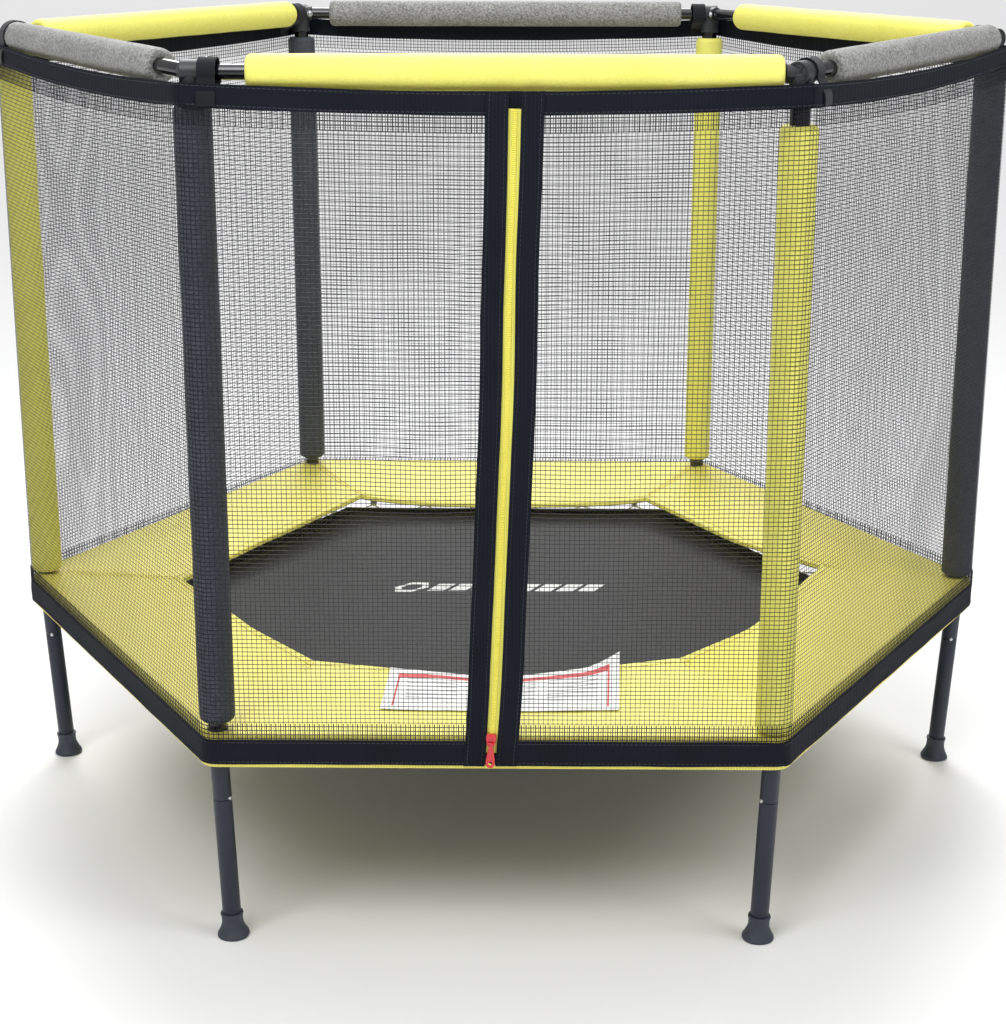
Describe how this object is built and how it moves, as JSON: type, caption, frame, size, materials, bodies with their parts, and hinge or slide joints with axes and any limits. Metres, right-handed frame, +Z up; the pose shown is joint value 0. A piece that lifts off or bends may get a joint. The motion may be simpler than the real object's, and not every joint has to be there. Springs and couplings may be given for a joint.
{
  "type": "trampoline",
  "caption": "Hexagonal child's mini trampoline on straight legs, with a padded pole enclosure, mesh net and a zipped entry.",
  "frame": {"origin": "on the floor under the middle of the jumping mat", "axes": "+Z up, +X towards a corner pole at the right of the zip side, -Y out through the zipped side of the net"},
  "size_m": [1.4552, 1.2703, 1.129],
  "materials": {
    "frame_powder_coat": "satin",
    "gloss_black_tube": "gloss",
    "connector_plastic": "matte",
    "foot_rubber": "matte",
    "dark_foam": "matte",
    "yellow_foam": "matte",
    "grey_foam": "matte",
    "mat_fabric": "matte",
    "pad_vinyl": "satin",
    "net_mesh": "matte",
    "zip_yellow": "satin",
    "zip_red": "satin"
  },
  "bodies": {
    "root": {"frame_section_1": "frame_powder_coat", "frame_section_2": "frame_powder_coat", "frame_section_3": "frame_powder_coat", "frame_section_4": "frame_powder_coat", "frame_section_5": "frame_powder_coat", "frame_section_6": "frame_powder_coat", "leg_1": "frame_powder_coat", "leg_2": "frame_powder_coat", "leg_3": "frame_powder_coat", "leg_4": "frame_powder_coat", "leg_5": "frame_powder_coat", "leg_6": "frame_powder_coat", "foot_1": "foot_rubber", "foot_2": "foot_rubber", "foot_3": "foot_rubber", "foot_4": "foot_rubber", "foot_5": "foot_rubber", "foot_6": "foot_rubber", "pole_1": "gloss_black_tube", "pole_2": "gloss_black_tube", "pole_3": "gloss_black_tube", "pole_4": "gloss_black_tube", "pole_5": "gloss_black_tube", "pole_6": "gloss_black_tube", "top_rail_1": "gloss_black_tube", "top_rail_2": "gloss_black_tube", "top_rail_3": "gloss_black_tube", "top_rail_4": "gloss_black_tube", "top_rail_5": "gloss_black_tube", "top_rail_6": "gloss_black_tube", "corner_connector_1": "connector_plastic", "corner_connector_2": "connector_plastic", "corner_connector_3": "connector_plastic", "corner_connector_4": "connector_plastic", "corner_connector_5": "connector_plastic", "corner_connector_6": "connector_plastic", "pole_foam_1": "dark_foam", "pole_foam_3": "dark_foam", "pole_foam_5": "dark_foam", "pole_foam_2": "yellow_foam", "pole_foam_4": "yellow_foam", "pole_foam_6": "yellow_foam", "rail_foam_1": "yellow_foam", "rail_foam_3": "yellow_foam", "rail_foam_5": "yellow_foam", "rail_foam_2": "grey_foam", "rail_foam_4": "grey_foam", "rail_foam_6": "grey_foam", "spring_pad": "pad_vinyl", "net_front_left": "net_mesh", "net_front_right": "net_mesh", "net_right_front": "net_mesh", "net_right_back": "net_mesh", "net_back": "net_mesh", "net_left_back": "net_mesh", "net_left_front": "net_mesh", "zip_chain": "zip_yellow"},
    "mat": {"jumping_mat": "mat_fabric"},
    "slider": {"zip_slider": "zip_red"},
    "pull": {"zip_pull": "zip_red"}
  },
  "joints": [
    {"name": "mat_bounce", "type": "slide", "parent": "root", "child": "mat", "axis": [0, 0, -1], "range_m": [0, 0.15], "stiffness_N_per_m": 4000},
    {"name": "zip_slide", "type": "slide", "parent": "root", "child": "slider", "axis": [0.0348, 0, 0.9994], "range_m": [0, 0.751]},
    {"name": "pull_swing", "type": "hinge", "parent": "slider", "child": "pull", "pos_m": [-0.00516, -0.63822, 0.28998], "axis": [-0.9994, 0, 0.0348], "range_deg": [0, 170]}
  ]
}
